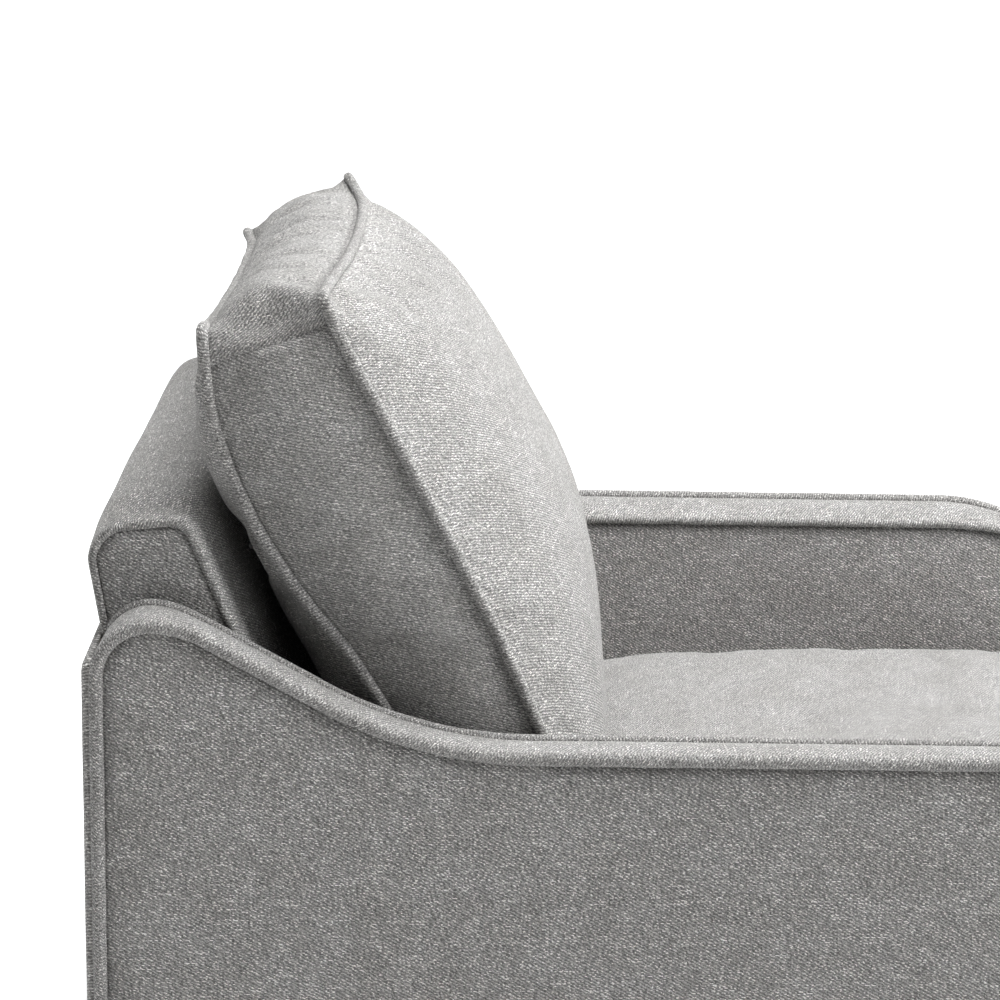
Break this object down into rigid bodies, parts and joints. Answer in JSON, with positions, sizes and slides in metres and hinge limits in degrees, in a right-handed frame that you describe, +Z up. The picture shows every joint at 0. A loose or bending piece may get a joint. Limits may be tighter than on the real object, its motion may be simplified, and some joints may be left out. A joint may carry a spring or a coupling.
{
  "type": "upholstered armchair",
  "caption": "Upholstered armchair with sloping welted arms, a loose boxed seat cushion, a loose boxed back cushion and tapered wooden legs.",
  "frame": {"origin": "on the floor, under the middle of the whole chair", "axes": "+X to the sitter's left, -Y to the front, +Z up"},
  "size_m": [0.7336, 0.8926, 0.952],
  "materials": {
    "plywood": "raw birch plywood",
    "frame_wood": "raw planed softwood",
    "leg_wood": "dark satin lacquer",
    "steel": "zinc plated",
    "glide_nylon": "matt nylon",
    "lining_black": "spun-bonded lining",
    "zip_black": "nylon coil on woven tape",
    "foam": "open-cell foam",
    "wadding": "polyester wadding",
    "board": "hardboard",
    "grey_cloth": "slubby heathered twill, mid grey"
  },
  "bodies": {
    "frame": {"arm_panel_inner_left": "plywood", "arm_panel_outer_left": "plywood", "arm_blocks_left": "frame_wood", "arm_top_foam_left": "foam", "arm_inside_foam_left": "foam", "arm_outside_padding_left": "wadding", "arm_cover_inside_left": "grey_cloth", "arm_cover_outside_left": "grey_cloth", "arm_cover_band_left": "grey_cloth", "arm_welts_left": "grey_cloth", "arm_panel_inner_right": "plywood", "arm_panel_outer_right": "plywood", "arm_blocks_right": "frame_wood", "arm_top_foam_right": "foam", "arm_inside_foam_right": "foam", "arm_outside_padding_right": "wadding", "arm_cover_inside_right": "grey_cloth", "arm_cover_outside_right": "grey_cloth", "arm_cover_band_right": "grey_cloth", "arm_welts_right": "grey_cloth", "seat_front_rail": "frame_wood", "seat_rear_rails": "frame_wood", "seat_side_rails": "frame_wood", "corner_blocks": "frame_wood", "sinuous_springs": "steel", "spring_clips": "steel", "spring_tie_wires": "steel", "spring_insulator": "lining_black", "deck_foam": "foam", "deck_cloth": "lining_black", "back_side_panels": "frame_wood", "back_rails": "frame_wood", "back_webbing": "lining_black", "back_foam": "foam", "back_cover_front": "grey_cloth", "back_cover_sides": "grey_cloth", "outside_back_board": "board", "outside_back_padding": "wadding", "outside_back_cover": "grey_cloth", "front_border_foam": "foam", "front_border_cover": "grey_cloth", "dust_cover": "lining_black", "legs": "leg_wood", "leg_plates": "steel", "leg_hardware": "steel", "leg_glides": "glide_nylon"},
    "seat_cushion": {"seat_cushion_core": "foam", "seat_cushion_panels": "grey_cloth", "seat_cushion_boxing": "grey_cloth", "seat_cushion_welts": "grey_cloth", "seat_zip_chain": "zip_black"},
    "seat_slider": {"seat_zip_slider": "steel"},
    "seat_pull": {"seat_zip_pull": "steel"},
    "back_cushion": {"back_cushion_fill": "wadding", "back_cushion_panels": "grey_cloth", "back_cushion_boxing": "grey_cloth", "back_cushion_welts": "grey_cloth", "back_zip_chain": "zip_black"},
    "back_slider": {"back_zip_slider": "steel"},
    "back_pull": {"back_zip_pull": "steel"}
  },
  "joints": [
    {"name": "seat_cushion_slide", "type": "slide", "parent": "frame", "child": "seat_cushion", "axis": [0, -0.999, 0.0436], "range_m": [0, 0.62]},
    {"name": "back_cushion_lift", "type": "slide", "parent": "frame", "child": "back_cushion", "axis": [0, 0.342, 0.9397], "range_m": [0, 0.5]},
    {"name": "seat_zip_run", "type": "slide", "parent": "seat_cushion", "child": "seat_slider", "axis": [1, 0, 0], "range_m": [0, 0.456]},
    {"name": "seat_pull_flip", "type": "hinge", "parent": "seat_slider", "child": "seat_pull", "pos_m": [-0.228, 0.16967, 0.38326], "axis": [0, 0.0436, 0.999], "range_deg": [0, 170]},
    {"name": "back_zip_run", "type": "slide", "parent": "back_cushion", "child": "back_slider", "axis": [1, 0, 0], "range_m": [0, 0.456]},
    {"name": "back_pull_flip", "type": "hinge", "parent": "back_slider", "child": "back_pull", "pos_m": [-0.228, 0.30967, 0.74113], "axis": [0, 0.4226, 0.9063], "range_deg": [0, 170]}
  ]
}
